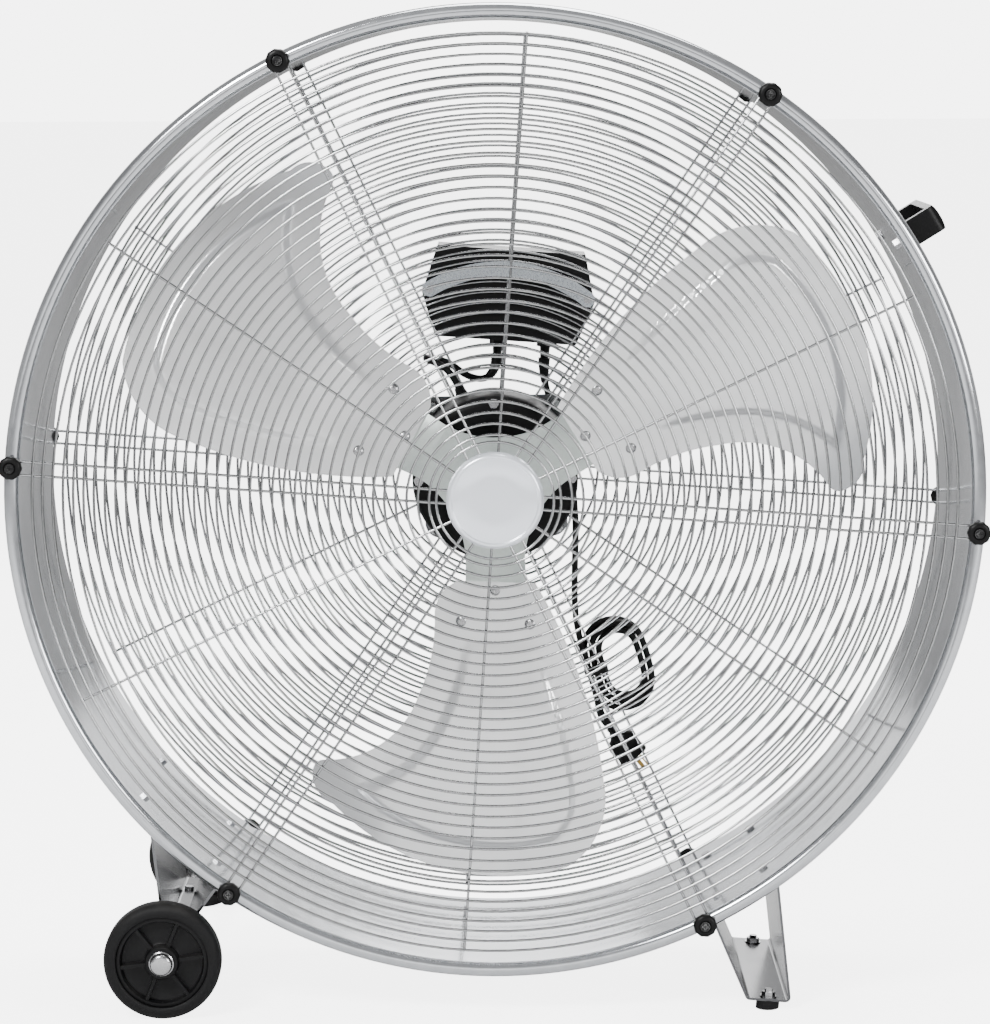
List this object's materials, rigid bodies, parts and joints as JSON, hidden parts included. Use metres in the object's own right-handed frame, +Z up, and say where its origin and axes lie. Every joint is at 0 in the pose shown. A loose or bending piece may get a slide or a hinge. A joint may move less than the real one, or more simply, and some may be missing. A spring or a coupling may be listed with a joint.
{
  "type": "drum fan",
  "caption": "Wheeled drum fan: sheet drum with rolled beads, wire grilles, pressed fan wheel on a motor, rear control box with corded plug, handle, bracket with feet and bracket with axle",
  "frame": {"origin": "on the floor under the middle of the fan's bounding box", "axes": "+Z up, -Y is the front that the fan blows towards, +X is to the right seen from the front, where the handle and the rubber feet are"},
  "size_m": [0.964, 0.4826, 0.9964],
  "materials": {
    "drum_paint": "satin light silver grey coil coated sheet",
    "zinc_wire": "bright zinc plated wire",
    "blade_aluminium": "pale mill finish aluminium sheet",
    "spider_steel": "pale greenish grey paint over steel",
    "strap_steel": "bluish grey plated steel strip",
    "bracket_steel": "plated bent steel sheet",
    "fastener_steel": "zinc plated screws, bolts, nuts and rivets",
    "shaft_steel": "ground steel",
    "motor_black": "black painted motor castings",
    "core_steel": "stacked electrical steel",
    "copper": "varnished copper windings",
    "black_plastic": "black moulded plastic",
    "cord_rubber": "black cord jacket and plug",
    "pin_brass": "bare brass blades and earth pin",
    "wheel_plastic": "dark grey moulded hub",
    "wheel_tyre": "solid black tyre"
  },
  "bodies": {
    "fan_frame": {"axle": "shaft_steel", "axle_caps": "shaft_steel", "axle_collar": "shaft_steel", "axle_saddles": "bracket_steel", "bearings": "shaft_steel", "box_cover_screws": "fastener_steel", "box_glands": "black_plastic", "box_strap": "strap_steel", "capacitor": "black_plastic", "control_box": "black_plastic", "control_box_cover": "black_plastic", "cord_hank": "cord_rubber", "cord_tie": "black_plastic", "drum_shell": "drum_paint", "foot_bracket": "bracket_steel", "foot_bracket_bolts": "fastener_steel", "foot_studs": "fastener_steel", "front_grille": "zinc_wire", "front_grille_screws": "fastener_steel", "front_knobs": "black_plastic", "handle": "black_plastic", "handle_screws": "fastener_steel", "hub_cap": "blade_aluminium", "motor_front_cover": "motor_black", "motor_lead": "cord_rubber", "motor_lead_gland": "black_plastic", "motor_mount_bolts": "fastener_steel", "motor_mount_plate": "bracket_steel", "motor_rear_cover": "motor_black", "motor_tie_bolts": "fastener_steel", "plug_body": "cord_rubber", "plug_lead": "cord_rubber", "plug_pins": "pin_brass", "power_cord": "cord_rubber", "rear_grille": "zinc_wire", "rear_grille_screws": "fastener_steel", "rear_knobs": "black_plastic", "rubber_feet": "cord_rubber", "saddle_bolts": "fastener_steel", "stator_core": "core_steel", "stator_windings": "copper", "strap_screws": "fastener_steel", "switch_body": "black_plastic", "wheel_bracket": "bracket_steel", "wheel_bracket_bolts": "fastener_steel"},
    "fan_wheel": {"motor_shaft": "shaft_steel", "motor_rotor": "core_steel", "fan_hub": "spider_steel", "hub_set_screw": "fastener_steel", "fan_spider": "spider_steel", "blade_1": "blade_aluminium", "blade_2": "blade_aluminium", "blade_3": "blade_aluminium", "blade_rivets": "fastener_steel"},
    "front_wheel": {"front_wheel_hub": "wheel_plastic", "front_wheel_tyre": "wheel_tyre"},
    "rear_wheel": {"rear_wheel_hub": "wheel_plastic", "rear_wheel_tyre": "wheel_tyre"},
    "speed_knob": {"switch_knob": "black_plastic"}
  },
  "joints": [
    {"name": "fan_spin", "type": "hinge", "parent": "fan_frame", "child": "fan_wheel", "pos_m": [0, -0.1, 0.51739], "axis": [0, 1, 0], "continuous": true},
    {"name": "front_wheel_spin", "type": "hinge", "parent": "fan_frame", "child": "front_wheel", "pos_m": [-0.3312, -0.218, 0.0584], "axis": [0, 1, 0], "continuous": true},
    {"name": "rear_wheel_spin", "type": "hinge", "parent": "fan_frame", "child": "rear_wheel", "pos_m": [-0.3312, 0.218, 0.0584], "axis": [0, 1, 0], "continuous": true},
    {"name": "speed_knob_turn", "type": "hinge", "parent": "fan_frame", "child": "speed_knob", "pos_m": [0.04872, 0.12, 0.69437], "axis": [0, 1, 0], "range_deg": [0, 135]}
  ]
}
